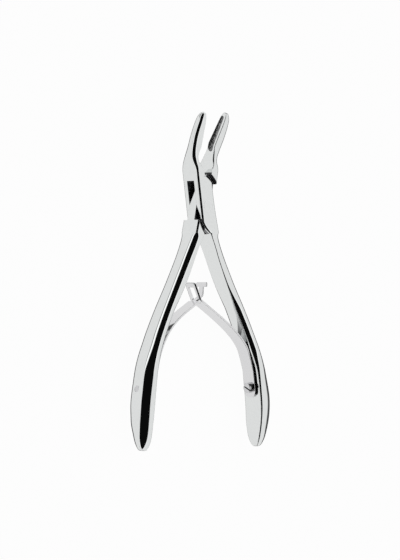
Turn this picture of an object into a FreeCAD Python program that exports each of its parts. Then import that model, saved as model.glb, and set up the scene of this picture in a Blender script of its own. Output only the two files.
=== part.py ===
import FreeCAD, Part
import math
import os

from FreeCAD import Vector

# Bone rongeur with a box joint and a crossed pair of leaf springs.
# The frame has its origin on the pivot axis, in the plane of the rear faces.
# +Y runs towards the jaws, +X across, and +Z out of the front face.
# Every piece is drawn as it lies with the jaws shut, then turned to the open rest pose.

# Driving dimensions, in millimetres and degrees.
JOINT_THICKNESS = 11.2
SLOT_WIDTH = 4.9
TENON_THICKNESS = 4.8
HALF_OPENING = 8.0
MID_Z = JOINT_THICKNESS / 2

# The joint block, as the outline of the slotted lever.
BLOCK_HALF_WIDTH = 4.2
HIGH_CORNER_Y = 10.2
HIGH_SHOULDER = (2.5, 12.3)
HIGH_CROTCH_Y = 14.3
LOW_CORNER_Y = -7.1
LOW_SHOULDER = (-2.35, -10.4)
LOW_CROTCH_Y = -12.9
JAW_ROOT_Y = 17.0
HANDLE_ROOT_OUT_X = 5.2
FLANK_X = 4.45
FLANK_Y = -3.0
EDGE_ROUND = 0.8
SHOULDER_GAP = 0.12
MEETING_GAP = 0.04
SLOT_TOP_Y = 12.0
SLOT_LOW_Y = -10.6
SLOT_DEEP_X = 1.2

# The pivot pin is riveted flush into a countersink on each side.
PIN_RADIUS = 2.0
PIN_HEAD_RADIUS = 2.5
PIN_HEAD_DEPTH = 0.7
PIN_CLEARANCE = 0.05

# The jaws rise straight from the joint, then bend towards the front.
BEND_START_Y = 18.5
BEND_RADIUS = 14.0
BEND_ANGLE = 26.5

# Jaw stations: height along Y, inner x, outer x, depth, power of the outer curve, inner corner radius.
JAW_STATIONS = (
    (17.0, 0.10, 4.16, 11.12, 8.0, 0.8),
    (19.0, 0.95, 4.25, 10.5, 5.0, 0.9),
    (21.3, 1.30, 4.35, 9.0, 3.6, 1.0),
    (23.6, 1.25, 4.55, 8.0, 2.9, 1.0),
    (26.0, 0.75, 4.80, 7.1, 2.5, 0.7),
    (28.4, MEETING_GAP, 5.00, 6.5, 2.3, 0.30),
    (31.5, MEETING_GAP, 4.90, 6.0, 2.2, 0.25),
    (35.0, MEETING_GAP, 4.35, 5.4, 2.2, 0.25),
    (38.4, MEETING_GAP, 3.30, 4.6, 2.2, 0.25),
    (40.8, MEETING_GAP, 2.45, 3.6, 2.2, 0.25),
    (42.2, MEETING_GAP, 1.40, 2.1, 2.2, 0.20),
)

# The cup scooped out of each jaw: a tapered trough with round ends, nearer the rear edge of the inner face.
CUP_HEEL_Y = 27.8
CUP_TOE_Y = 40.0
CUP_HEEL_RADIUS = 2.45
CUP_TOE_RADIUS = 1.2
CUP_AXIS_X = -0.45
CUP_AXIS_BACK = 0.55

# Handle stations: y, centre x, thickness, depth, power of the outer curve, inner corner radius.
HANDLE_STATIONS = (
    (-12.9, 2.63, 5.06, 11.12, 8.0, 0.8),
    (-19.0, 4.89, 5.68, 10.6, 2.8, 0.9),
    (-26.0, 6.93, 6.07, 10.0, 2.5, 1.0),
    (-36.0, 10.08, 6.67, 10.2, 2.5, 1.0),
    (-50.0, 14.92, 6.95, 11.0, 2.6, 1.0),
    (-65.0, 19.40, 6.61, 11.7, 2.8, 0.9),
    (-80.0, 22.17, 6.74, 12.0, 3.0, 0.8),
    (-92.0, 22.27, 7.33, 12.0, 3.0, 0.8),
    (-101.0, 21.63, 7.36, 11.6, 2.9, 0.8),
    (-107.5, 20.44, 6.69, 9.6, 2.7, 0.8),
    (-111.6, 19.58, 5.77, 7.0, 2.4, 0.7),
    (-113.5, 18.84, 3.56, 3.4, 2.2, 0.4),
)

# Leaf springs, drawn in the open pose. Each leaves its handle, swings to the crossing and turns up.
LEAF_WIDTH = 7.4
LEAF_THICKNESS = 0.9
LEAF_GAP = 0.15
LEAF_BEND_RADIUS = 1.2
FOOT_HEIGHTS = (-91.0, -89.0, -86.5, -84.0, -81.5, -76.0, -70.0)
FOOT_ROUND = 3.0
SCREW_Y = -86.5
CROSSING = (-2.5, -42.7)
CROSSING_LEAN = 56.0
WINDOW_PULLS = (9.0, 12.0)
WINDOW_LIFT = 7.9
WINDOW_LEAN = 24.5
WINDOW_OPENING_WIDTH = 3.8
WINDOW_OPENING = (-2.0, 5.9)
WINDOW_ROUND = 1.4
TEE_PULLS = (16.0, 11.0)
TEE_RUN = 3.7
TEE_LIFT = 5.6
TEE_LEAN = -5.0
TEE_NECK_WIDTH = 3.0
TEE_NECK_START = 1.5
TEE_BAR_HEIGHT = 2.0
TEE_ROUND = 0.7

# Spring screws: slotted cheese heads on the inner faces, tails flush outside.
SCREW_HEAD_RADIUS = 2.4
SCREW_HEAD_HEIGHT = 2.2
SCREW_HEAD_CHAMFER = 0.3
SCREW_SHANK_RADIUS = 1.5
SCREW_SLOT_WIDTH = 0.7
SCREW_SLOT_DEPTH = 1.0
SCREW_HOLE_CLEARANCE = 0.05
HEAD_GAP = 0.06

OUT = "parts"


def point(x, y, z=0.0):
    """A vector in the row frame."""
    return Vector(x, y, z)


def line(a, b):
    """A straight edge."""
    return Part.LineSegment(a, b).toShape()


def arc(a, middle, b):
    """An arc edge through three points."""
    return Part.Arc(a, middle, b).toShape()


def mirrored(shape):
    """The shape reflected across the plane x = 0."""
    return shape.mirror(Vector(0, 0, 0), Vector(1, 0, 0))


def turned(shape, degrees, centre=Vector(0, 0, 0)):
    """The shape turned about an axis parallel to the pivot."""
    copy = shape.copy()
    copy.rotate(centre, Vector(0, 0, 1), degrees)
    return copy


def section(centre, across, through, width, depth, power, inner_round):
    """A closed section, flat on its inner side and curved on its outer side."""
    inner, half_depth = -width / 2, depth / 2

    def at(u, v):
        return centre + across * u + through * v

    def outer(side, degrees):
        angle = math.radians(degrees)
        u = inner + inner_round + (width - inner_round) * math.cos(angle) ** (2 / power)
        return at(u, side * half_depth * math.sin(angle) ** (2 / power))

    def corner(side):
        near = inner_round * (1 - math.cos(math.radians(45)))
        face = at(inner, side * (half_depth - inner_round))
        middle = at(inner + near, side * (half_depth - near))
        return face, middle, at(inner + inner_round, side * half_depth)

    a, b, c = (outer(1, degrees) for degrees in (15, 45, 75))
    d, e, f = corner(1)
    g, h, i = corner(-1)
    j, k, m = (outer(-1, degrees) for degrees in (15, 45, 75))
    edges = [
        arc(a, b, c), line(c, f), arc(f, e, d), line(d, g),
        arc(g, h, i), line(i, m), arc(m, k, j), line(j, a),
    ]
    return Part.Wire(edges)


def jaw_place(y):
    """Depth offset and tangent of the bent jaw's centre line at a height along Y."""
    angle = math.radians(BEND_ANGLE)
    end_y = BEND_START_Y + BEND_RADIUS * math.sin(angle)
    if y <= BEND_START_Y:
        return 0.0, 0.0
    if y < end_y:
        lean = math.asin((y - BEND_START_Y) / BEND_RADIUS)
        return BEND_RADIUS * (1 - math.cos(lean)), lean
    rise = BEND_RADIUS * (1 - math.cos(angle))
    return rise + (y - end_y) * math.tan(angle), angle


def jaw_on_right():
    """A jaw without its cup, on the +X side."""
    wires = []
    for y, x_in, x_out, depth, power, inner in JAW_STATIONS:
        offset, lean = jaw_place(y)
        centre = point((x_in + x_out) / 2, y, MID_Z + offset)
        through = point(0, -math.sin(lean), math.cos(lean))
        wires.append(section(centre, point(1, 0, 0), through, x_out - x_in, depth, power, inner))
    return Part.makeLoft(wires, True, True)


def cup_tool():
    """The round-ended tapered cutter that scoops the cup, lying along the bent part of the jaw."""
    heel_offset, lean = jaw_place(CUP_HEEL_Y)
    along = Vector(0, 1, 0)
    length = (CUP_TOE_Y - CUP_HEEL_Y) / math.cos(lean)
    trough = Part.makeCone(CUP_HEEL_RADIUS, CUP_TOE_RADIUS, length, point(0, 0), along)
    heel = Part.makeSphere(CUP_HEEL_RADIUS, point(0, 0))
    toe = Part.makeSphere(CUP_TOE_RADIUS, point(0, length))
    cutter = trough.fuse([heel, toe])
    cutter.translate(point(0, 0, -CUP_AXIS_BACK))
    cutter.rotate(Vector(0, 0, 0), Vector(1, 0, 0), math.degrees(lean))
    cutter.translate(point(CUP_AXIS_X, CUP_HEEL_Y, MID_Z + heel_offset))
    return cutter


def handle_on_right():
    """A handle on the +X side, from the joint block to its rounded end, flush behind with the joint."""
    wires = []
    for y, x, thickness, depth, power, inner in HANDLE_STATIONS:
        centre = point(x, y, max(MID_Z, depth / 2))
        wires.append(section(centre, point(1, 0, 0), point(0, 0, 1), thickness, depth, power, inner))
    return Part.makeLoft(wires, True, True)


def block_outline(gap=0.0):
    """The joint outline of the lever whose jaw is on the left, widened by a gap."""
    half = BLOCK_HALF_WIDTH + gap
    high_x, high_y = HIGH_SHOULDER
    low_x, low_y = LOW_SHOULDER
    meet = MEETING_GAP - gap
    top_left, top_meet = point(-half, JAW_ROOT_Y), point(-meet, JAW_ROOT_Y)
    low_left, low_crotch = point(-half, LOW_CORNER_Y - gap), point(meet, LOW_CROTCH_Y - gap)
    low_right = point(HANDLE_ROOT_OUT_X + gap, LOW_CROTCH_Y - gap)
    high_right, high_crotch = point(half, HIGH_CORNER_Y + gap), point(-meet, HIGH_CROTCH_Y + gap)
    edges = [
        line(top_left, low_left),
        arc(low_left, point(low_x - gap, low_y - gap), low_crotch),
        line(low_crotch, low_right),
        arc(low_right, point(FLANK_X + gap, FLANK_Y), high_right),
        arc(high_right, point(high_x + gap, high_y + gap), high_crotch),
        line(high_crotch, top_meet),
        line(top_meet, top_left),
    ]
    return Part.Face(Part.Wire(edges))


def rounded_block():
    """The full joint block of the slotted lever, with softened long edges."""
    block = block_outline().extrude(point(0, 0, JOINT_THICKNESS))
    soft = []
    for edge in block.Edges:
        box = edge.BoundBox
        flat = box.ZLength < 1e-6
        root = box.YLength < 1e-6
        inner = box.XLength < 1e-6 and abs(box.XMin) < 1.0
        if flat and not root and not inner:
            soft.append(edge)
    return block.makeFillet(EDGE_ROUND, soft)


def lever_with_left_jaw():
    """The lever before its joint is cut: left jaw, block and right handle as one."""
    jaw = mirrored(jaw_on_right().cut(cup_tool()))
    body = rounded_block().fuse([jaw, handle_on_right()])
    return body.removeSplitter()


def layer(face, low, high):
    """A flat outline extruded between two depths from the mid-plane."""
    solid = face.extrude(point(0, 0, high - low))
    solid.translate(point(0, 0, MID_Z + low))
    return solid


def slot_tool():
    """The mouth through the slotted lever that the tenon passes through."""
    half = SLOT_WIDTH / 2
    passage = layer(mirrored(block_outline(SHOULDER_GAP)), -half, half)
    mouths = []
    for side, end_y in ((-1, SLOT_TOP_Y), (1, SLOT_LOW_Y)):
        outside = side * (BLOCK_HALF_WIDTH + 2)
        beyond = point(outside, side * 2)
        corners = [beyond, point(outside, end_y), point(side * SLOT_DEEP_X, end_y), point(0, side * 2), beyond]
        mouths.append(layer(Part.Face(Part.makePolygon(corners)), -half, half))
    return passage.fuse(mouths)


def pin_shape(clearance=0.0):
    """The riveted pin, or the hole it fills when a clearance is given."""
    radius = PIN_RADIUS + clearance
    low = Part.makeCone(PIN_HEAD_RADIUS, radius, PIN_HEAD_DEPTH, point(0, 0, 0))
    high_z = JOINT_THICKNESS - PIN_HEAD_DEPTH
    high = Part.makeCone(radius, PIN_HEAD_RADIUS, PIN_HEAD_DEPTH, point(0, 0, high_z))
    shank = Part.makeCylinder(radius, high_z - PIN_HEAD_DEPTH, point(0, 0, PIN_HEAD_DEPTH))
    return shank.fuse([low, high]).removeSplitter()


def slotted_lever():
    """The outer lever of the box joint, jaws shut: left jaw, right handle."""
    lever = lever_with_left_jaw().cut(slot_tool())
    lever = lever.cut(pin_shape())
    return lever.cut(screw_hole())


def tenon_lever():
    """The inner lever of the box joint, jaws shut: right jaw, left handle."""
    half = TENON_THICKNESS / 2
    reach = JOINT_THICKNESS
    outline = block_outline(SHOULDER_GAP)
    beside = Part.makePlane(2 * FLANK_X, HIGH_CORNER_Y - LOW_CORNER_Y, point(-2 * FLANK_X, LOW_CORNER_Y))
    lever = mirrored(lever_with_left_jaw())
    for low, high in ((half, reach), (-reach, -half)):
        lever = lever.cut([layer(outline, low, high), layer(beside, low, high)])
    lever = lever.cut(Part.makeCylinder(PIN_RADIUS + PIN_CLEARANCE, JOINT_THICKNESS))
    return lever.cut(mirrored(screw_hole()))


def handle_at(y):
    """Centre x and thickness of the handle at a height along Y, between two stations."""
    for upper, lower in zip(HANDLE_STATIONS, HANDLE_STATIONS[1:]):
        if upper[0] >= y >= lower[0]:
            share = (upper[0] - y) / (upper[0] - lower[0])
            x = upper[1] + share * (lower[1] - upper[1])
            thickness = upper[2] + share * (lower[2] - upper[2])
            return x, thickness
    raise ValueError("no handle at this height")


def inner_face(y):
    """A place on the inner face of the right handle, at mid-depth."""
    x, thickness = handle_at(y)
    return point(x - thickness / 2, y)


def at_screw_seat(shape):
    """Moves a shape drawn along +X from the origin to the right handle's inner face, square to it."""
    face = inner_face(SCREW_Y - 2) - inner_face(SCREW_Y + 2)
    placed = turned(shape, math.degrees(math.atan2(face.x, -face.y)))
    placed.translate(inner_face(SCREW_Y) + point(0, 0, MID_Z))
    return placed


def screw_hole():
    """The threaded hole across the right handle."""
    return at_screw_seat(Part.makeCylinder(SCREW_SHANK_RADIUS, 12.0, point(-2, 0), Vector(1, 0, 0)))


def spring_screw():
    """The screw in the right handle, jaws shut."""
    thickness = handle_at(SCREW_Y)[1]
    seat = -(LEAF_GAP + LEAF_THICKNESS + HEAD_GAP)
    along = Vector(1, 0, 0)
    top = seat - SCREW_HEAD_HEIGHT
    head = Part.makeCylinder(SCREW_HEAD_RADIUS, SCREW_HEAD_HEIGHT, point(top, 0), along)
    rim = [e for e in head.Edges if e.BoundBox.XLength < 1e-6 and e.BoundBox.XMin < seat - 1]
    head = head.makeChamfer(SCREW_HEAD_CHAMFER, rim)
    shank = Part.makeCylinder(SCREW_SHANK_RADIUS, thickness - seat, point(seat, 0), along)
    slot = Part.makeBox(SCREW_SLOT_DEPTH, SCREW_SLOT_WIDTH, 12.0)
    slot.translate(point(top, -SCREW_SLOT_WIDTH / 2, -6.0))
    slot.rotate(Vector(0, 0, 0), along, 25)
    return at_screw_seat(head.fuse(shank).cut(slot).removeSplitter())


def unit(degrees):
    """A direction in the plane of the instrument, leaning from +Y towards -X."""
    angle = math.radians(degrees)
    return point(-math.sin(angle), math.cos(angle))


def square_to(direction):
    """The in-plane direction a quarter turn clockwise from another."""
    return point(direction.y, -direction.x)


def rounded_corner(before, corner, after):
    """Three points of the arc that replaces a corner between two directions."""
    turn = before.getAngle(after)
    reach = LEAF_BEND_RADIUS * math.tan(turn / 2)
    start, end = corner - before * reach, corner + after * reach
    inward = (after - before).normalize()
    apex = corner + inward * (LEAF_BEND_RADIUS / math.cos(turn / 2) - LEAF_BEND_RADIUS)
    return [start, apex, end]


def bezier(a, b, c, d, t):
    """A point on a cubic curve with four control points."""
    s = 1 - t
    return a * s**3 + b * (3 * s * s * t) + c * (3 * s * t * t) + d * t**3


def foot_points():
    """The right leaf's line along its handle, turned to the open pose."""
    points = []
    for y in FOOT_HEIGHTS:
        place = inner_face(y) - point(LEAF_GAP + LEAF_THICKNESS / 2, 0)
        points.append(turned(Part.Vertex(place), HALF_OPENING).Point)
    return points


def leaf_route(side, pulls):
    """A leaf's line from its foot to the crossing. Side is 1 on the right and -1 on the left."""
    foot = [point(side * p.x, p.y) for p in foot_points()]
    lift, before = foot[-1], foot[-2]
    leave = (lift - before).normalize()
    crossing = point(*CROSSING)
    arrive = unit(side * CROSSING_LEAN)
    controls = (lift, lift + leave * pulls[0], crossing - arrive * pulls[1], crossing)
    free = [bezier(*controls, share / 8) for share in range(1, 8)]
    return foot + free, crossing, arrive


def strip(points):
    """A strip of even thickness along a line of points, as wide as a leaf."""
    half = LEAF_THICKNESS / 2
    sides = ([], [])
    for i, p in enumerate(points):
        before, after = points[max(i - 1, 0)], points[min(i + 1, len(points) - 1)]
        normal = square_to((after - before).normalize())
        sides[0].append(p + normal * half)
        sides[1].append(p - normal * half)
    curves = []
    for side in sides:
        curve = Part.BSplineCurve()
        curve.interpolate(side)
        curves.append(curve.toShape())
    ends = [line(sides[0][0], sides[1][0]), line(sides[0][-1], sides[1][-1])]
    face = Part.Face(Part.Wire(Part.sortEdges(curves + ends)[0]))
    return layer(face, -LEAF_WIDTH / 2, LEAF_WIDTH / 2)


def bar_tool(start, direction, reach, low, high):
    """A block along a direction, as a tool for cutting a leaf between two depths."""
    out = square_to(direction) * reach[2]
    a, b = start + direction * reach[0], start + direction * reach[1]
    face = Part.Face(Part.makePolygon([a - out, b - out, b + out, a + out, a - out]))
    return layer(face, low, high)


def softened(leaf, spots, radius):
    """The leaf with the corner edges nearest to some spots rounded."""
    edges = []
    for spot in spots:
        short = [e for e in leaf.Edges if abs(e.Length - LEAF_THICKNESS) < 0.1]
        edges.append(min(short, key=lambda e: e.CenterOfMass.distanceToPoint(spot)))
    return leaf.makeFillet(radius, edges)


def both_edges(place):
    """A place on the leaf's line, moved to its rear and its front edge."""
    return [point(place.x, place.y, MID_Z + side * LEAF_WIDTH / 2) for side in (-1, 1)]


def leaf_hole(side):
    """The clearance hole for a spring screw in the open pose."""
    radius = SCREW_SHANK_RADIUS + SCREW_HOLE_CLEARANCE
    hole = Part.makeCylinder(radius, 6.0, point(-5, 0), Vector(1, 0, 0))
    hole = turned(at_screw_seat(hole), HALF_OPENING)
    return hole if side > 0 else mirrored(hole)


def window_spring():
    """The right leaf, whose upturned end is a frame round a window."""
    points, crossing, arrive = leaf_route(1, WINDOW_PULLS)
    up = unit(WINDOW_LEAN)
    points += rounded_corner(arrive, crossing, up)
    top = crossing + up * WINDOW_LIFT
    points += [crossing + (top - crossing) * share for share in (0.4, 0.7, 1.0)]
    half = WINDOW_OPENING_WIDTH / 2
    reach = (WINDOW_OPENING[0], WINDOW_OPENING[1], 3.0)
    leaf = strip(points)
    leaf = softened(leaf, both_edges(points[0]), FOOT_ROUND)
    leaf = softened(leaf, both_edges(top), WINDOW_ROUND)
    leaf = leaf.cut(bar_tool(crossing, up, reach, -half, half))
    return leaf.cut(leaf_hole(1))


def tee_spring():
    """The left leaf, whose upturned end is a tee hooked through the window."""
    points, crossing, arrive = leaf_route(-1, TEE_PULLS)
    up = unit(TEE_LEAN)
    corner = crossing + arrive * TEE_RUN
    points += [crossing] + rounded_corner(arrive, corner, up)
    top = corner + up * TEE_LIFT
    points += [corner + (top - corner) * share for share in (0.4, 0.7, 1.0)]
    leaf = strip(points)
    leaf = softened(leaf, both_edges(points[0]), FOOT_ROUND)
    leaf = softened(leaf, both_edges(top), TEE_ROUND)
    neck, edge = TEE_NECK_WIDTH / 2, LEAF_WIDTH
    run = (-TEE_NECK_START, TEE_RUN + 0.6, 2.0)
    rise = (-0.6, TEE_LIFT - TEE_BAR_HEIGHT, 1.5)
    for low, high in ((neck, edge), (-edge, -neck)):
        leaf = leaf.cut([bar_tool(crossing, arrive, run, low, high), bar_tool(corner, up, rise, low, high)])
    return leaf.cut(leaf_hole(-1))


def write(name, shape):
    """Writes one piece to its STEP file."""
    solids = shape.Solids
    kept = solids[0] if len(solids) == 1 else Part.makeCompound(solids)
    kept.exportStep(os.path.join(OUT, name + ".step"))
    print(name, len(solids), "solid, volume", round(kept.Volume, 1), "mm3, valid", kept.isValid())


def main():
    """Builds every piece and turns it from the shut pose to the open rest pose."""
    os.makedirs(OUT, exist_ok=True)
    write("slotted_lever", turned(slotted_lever(), HALF_OPENING))
    write("tenon_lever", turned(tenon_lever(), -HALF_OPENING))
    write("pivot_pin", turned(pin_shape(), HALF_OPENING))
    screw = spring_screw()
    write("window_spring_screw", turned(screw, HALF_OPENING))
    write("tee_spring_screw", turned(mirrored(screw), -HALF_OPENING))
    write("window_spring", window_spring())
    write("tee_spring", tee_spring())


main()
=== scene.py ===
import logging
import math
from collections.abc import Callable, Iterable, Sequence
from dataclasses import dataclass, field
from enum import Enum

import bmesh
import bpy
from mathutils import Matrix, Vector


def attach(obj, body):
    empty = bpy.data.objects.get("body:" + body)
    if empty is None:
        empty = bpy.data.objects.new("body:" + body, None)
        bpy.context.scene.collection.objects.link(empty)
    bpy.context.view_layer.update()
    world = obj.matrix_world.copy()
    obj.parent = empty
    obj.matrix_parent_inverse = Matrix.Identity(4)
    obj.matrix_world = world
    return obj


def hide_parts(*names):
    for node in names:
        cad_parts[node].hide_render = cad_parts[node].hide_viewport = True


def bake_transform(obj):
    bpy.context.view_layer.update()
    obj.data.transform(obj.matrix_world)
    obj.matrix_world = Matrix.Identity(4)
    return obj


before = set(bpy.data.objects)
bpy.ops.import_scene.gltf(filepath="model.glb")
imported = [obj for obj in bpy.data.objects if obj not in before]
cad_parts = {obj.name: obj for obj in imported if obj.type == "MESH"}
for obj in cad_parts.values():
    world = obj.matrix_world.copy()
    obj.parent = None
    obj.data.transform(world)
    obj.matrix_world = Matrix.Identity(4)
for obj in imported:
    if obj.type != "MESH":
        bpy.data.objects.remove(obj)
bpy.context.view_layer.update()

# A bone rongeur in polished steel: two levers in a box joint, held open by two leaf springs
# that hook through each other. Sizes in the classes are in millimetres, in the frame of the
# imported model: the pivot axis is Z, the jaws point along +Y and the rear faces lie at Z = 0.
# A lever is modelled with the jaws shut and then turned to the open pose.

MM = 0.001
HALF_OPENING = 8.0
JOINT_THICKNESS = 11.2
MID_Z = JOINT_THICKNESS / 2

UP = Vector((0, 1, 0))
MERGE_DISTANCE = 0.002
SMOOTH_ANGLE = 32.0
NORMAL_WEIGHT = 60
LEVEL_TOLERANCE = 0.01
WALL_TOLERANCE = 0.05
FACING = 0.9
ROUND_SIDES = 64
CORNER_STEPS = 5
TINY = 1e-9

log = logging.getLogger("rongeur")

Point = tuple[float, float]
Stations = tuple[tuple[float, ...], ...]
Piece = bpy.types.Object
Mesh = bmesh.types.BMesh
Socket = bpy.types.NodeSocket


class Side(Enum):
    """The side of the instrument that a handle lies on, as the sign of its x."""

    LEFT = -1
    RIGHT = 1


# ---- Working at the bench ----


@dataclass(frozen=True)
class Course:
    """A value that runs smoothly through the ones given at its stations."""

    places: tuple[float, ...]
    values: tuple[float, ...]

    def slopes(self) -> list[float]:
        """The slope at each station, flat at a peak so that the course never overshoots.

        Returns:
            One slope for each station.
        """
        steps = [
            (self.values[i + 1] - self.values[i]) / (self.places[i + 1] - self.places[i])
            for i in range(len(self.places) - 1)
        ]
        inner = []
        for i in range(1, len(steps)):
            before, after = steps[i - 1], steps[i]
            level = before * after <= 0
            inner.append(0.0 if level else 2 * before * after / (before + after))
        return [steps[0], *inner, steps[-1]]

    def at(self, place: float) -> float:
        """The value at a place.

        Args:
            place: where to read, held to the range of the stations.

        Returns:
            The value there.
        """
        low, high = min(self.places), max(self.places)
        place = min(max(place, low), high)
        slopes = self.slopes()
        for i in range(len(self.places) - 1):
            a, b = self.places[i], self.places[i + 1]
            if min(a, b) <= place <= max(a, b):
                width = b - a
                t = (place - a) / width
                start, end = self.values[i], self.values[i + 1]
                bend = width * (slopes[i] * t * (1 - t) ** 2 - slopes[i + 1] * t * t * (1 - t))
                return start + (end - start) * (3 * t * t - 2 * t**3) + bend
        return self.values[-1]


def evened(values: Sequence[float], passes: int) -> list[float]:
    """A run of values with its kinks eased, its ends kept.

    Args:
        values: the run.
        passes: how often each value is drawn towards its neighbours.

    Returns:
        The eased run.
    """
    run = list(values)
    for _ in range(passes):
        middle = [(run[i - 1] + 2 * run[i] + run[i + 1]) / 4 for i in range(1, len(run) - 1)]
        run = [run[0], *middle, run[-1]]
    return run


class Bench:
    """The ways of working that every piece shares."""

    @staticmethod
    def clear() -> None:
        """Leaves nothing selected."""
        bpy.ops.object.select_all(action="DESELECT")

    @staticmethod
    def pick(piece: Piece) -> None:
        """Selects one piece alone and makes it the active one.

        Args:
            piece: the mesh object.
        """
        Bench.clear()
        piece.select_set(True)
        bpy.context.view_layer.objects.active = piece

    @staticmethod
    def shape(piece: Piece, work: Callable[[Mesh], None]) -> None:
        """Does some work on a piece in edit mode.

        Args:
            piece: the mesh object.
            work: a function that is given the mesh and may call edit mode operators.
        """
        Bench.pick(piece)
        bpy.ops.object.mode_set(mode="EDIT")
        bpy.ops.mesh.select_mode(type="VERT")
        work(bmesh.from_edit_mesh(piece.data))
        bpy.ops.object.mode_set(mode="OBJECT")

    @staticmethod
    def choose(mesh: Mesh, kind: str, fits: Callable[..., bool]) -> None:
        """In edit mode, selects only those parts of a mesh that fit a rule.

        Args:
            mesh: the mesh.
            kind: what is selected: VERT, EDGE or FACE.
            fits: the rule, which is given one part at a time.
        """
        bpy.ops.mesh.select_mode(type=kind)
        bpy.ops.mesh.select_all(action="DESELECT")
        for part in {"VERT": mesh.verts, "EDGE": mesh.edges, "FACE": mesh.faces}[kind]:
            part.select = fits(part)

    @staticmethod
    def bevel(offset: float, segments: int) -> None:
        """In edit mode, rounds the selected edges."""
        bpy.ops.mesh.bevel(offset=offset * MM, segments=segments, profile=0.5, affect="EDGES")

    @staticmethod
    def even_normals(piece: Piece) -> None:
        """Merges doubled points and turns every face outwards.

        Args:
            piece: the mesh object.
        """

        def work(_: Mesh) -> None:
            """Works on the whole mesh."""
            bpy.ops.mesh.select_all(action="SELECT")
            bpy.ops.mesh.remove_doubles(threshold=MERGE_DISTANCE * MM)
            bpy.ops.mesh.normals_make_consistent(inside=False)

        Bench.shape(piece, work)

    @staticmethod
    def apply(piece: Piece, kind: str, **settings: object) -> None:
        """Puts a modifier on a piece and applies it.

        Args:
            piece: the mesh object.
            kind: the modifier's type.
            settings: the modifier's values.
        """
        Bench.pick(piece)
        modifier = piece.modifiers.new(kind.lower(), kind)
        for name, value in settings.items():
            setattr(modifier, name, value)
        bpy.ops.object.modifier_apply(modifier=modifier.name)

    @staticmethod
    def combine(piece: Piece, other: Piece, operation: str) -> None:
        """Unites or cuts, with each face keeping its finish, and uses the other piece up.

        Args:
            piece: the mesh object that stays.
            other: the mesh object that is used up.
            operation: UNION or DIFFERENCE.
        """
        settings = {"solver": "EXACT", "material_mode": "TRANSFER", "object": other}
        Bench.apply(piece, "BOOLEAN", operation=operation, **settings)
        bpy.data.objects.remove(other, do_unlink=True)

    @staticmethod
    def cut_away(piece: Piece, tool: Piece) -> None:
        """Cuts a tool out of a piece, and gives the cut faces the tool's finish."""
        Bench.combine(piece, tool, "DIFFERENCE")

    @staticmethod
    def place(piece: Piece, turn: Matrix, move: Vector = Vector()) -> None:
        """Turns and moves a piece in its mesh, so that the object stays at the origin.

        Args:
            piece: the mesh object.
            turn: the rotation or reflection.
            move: the shift after it, in millimetres.
        """
        Bench.pick(piece)
        piece.matrix_world = Matrix.Translation(move * MM) @ turn.to_4x4()
        bpy.ops.object.transform_apply(location=True, rotation=True, scale=True)

    @staticmethod
    def mirror(piece: Piece) -> None:
        """Reflects a piece across the plane x = 0 and turns its faces outwards again."""
        Bench.place(piece, Matrix.Diagonal((-1, 1, 1)))
        Bench.even_normals(piece)

    @staticmethod
    def loft(name: str, rings: Sequence[Sequence[Vector]], finish: "Finish") -> Piece:
        """Extrudes a disc from ring to ring.

        Args:
            name: the piece's name.
            rings: outlines with the same number of points, in millimetres.
            finish: what the piece is made of.

        Returns:
            The closed shape.
        """
        Bench.clear()
        bpy.ops.mesh.primitive_circle_add(vertices=len(rings[0]), radius=MM, fill_type="NGON")
        piece = bpy.context.object
        piece.name = name

        def work(mesh: Mesh) -> None:
            """Lays the disc's points on the first ring, and draws it out to the others."""
            mesh.verts.ensure_lookup_table()
            ring = list(mesh.verts)
            for point, spot in zip(ring, rings[0]):
                point.co = spot * MM
            for outline in rings[1:]:
                bpy.ops.mesh.extrude_region_move()
                ring = [Bench.partner(point) for point in ring]
                for point, spot in zip(ring, outline):
                    point.co = spot * MM

        Bench.shape(piece, work)
        Bench.even_normals(piece)
        finish.put_on(piece)
        return piece

    @staticmethod
    def partner(point: bmesh.types.BMVert) -> bmesh.types.BMVert:
        """The new point that an extrusion drew out of an old one."""
        ends = (edge.other_vert(point) for edge in point.link_edges)
        return next(end for end in ends if end.select)

    @staticmethod
    def prism(name: str, outline: Sequence[Point], levels: Point, finish: "Finish") -> Piece:
        """A flat outline extruded along Z.

        Args:
            name: the piece's name.
            outline: its points, in millimetres.
            levels: the lower and the upper level.
            finish: what the piece is made of.

        Returns:
            The closed shape.
        """
        rings = [[Vector((x, y, z)) for x, y in outline] for z in levels]
        return Bench.loft(name, rings, finish)

    @staticmethod
    def soften(piece: Piece) -> None:
        """Shades a piece smooth, with its edges kept and its flats flat.

        Args:
            piece: the mesh object.
        """
        Bench.pick(piece)
        bpy.ops.object.shade_smooth_by_angle(angle=math.radians(SMOOTH_ANGLE))
        Bench.apply(piece, "WEIGHTED_NORMAL", keep_sharp=True, weight=NORMAL_WEIGHT)


def turned(degrees: float, axis: str = "Z") -> Matrix:
    """The rotation by an angle about an axis."""
    return Matrix.Rotation(math.radians(degrees), 3, axis)


def round_corner(centre: Point, radius: float, quarter: int) -> list[Point]:
    """Points on one quarter of a circle, counted anticlockwise from the right."""
    turns = (math.pi / 2 * (quarter + i / CORNER_STEPS) for i in range(CORNER_STEPS + 1))
    return [(centre[0] + radius * math.cos(t), centre[1] + radius * math.sin(t)) for t in turns]


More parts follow.
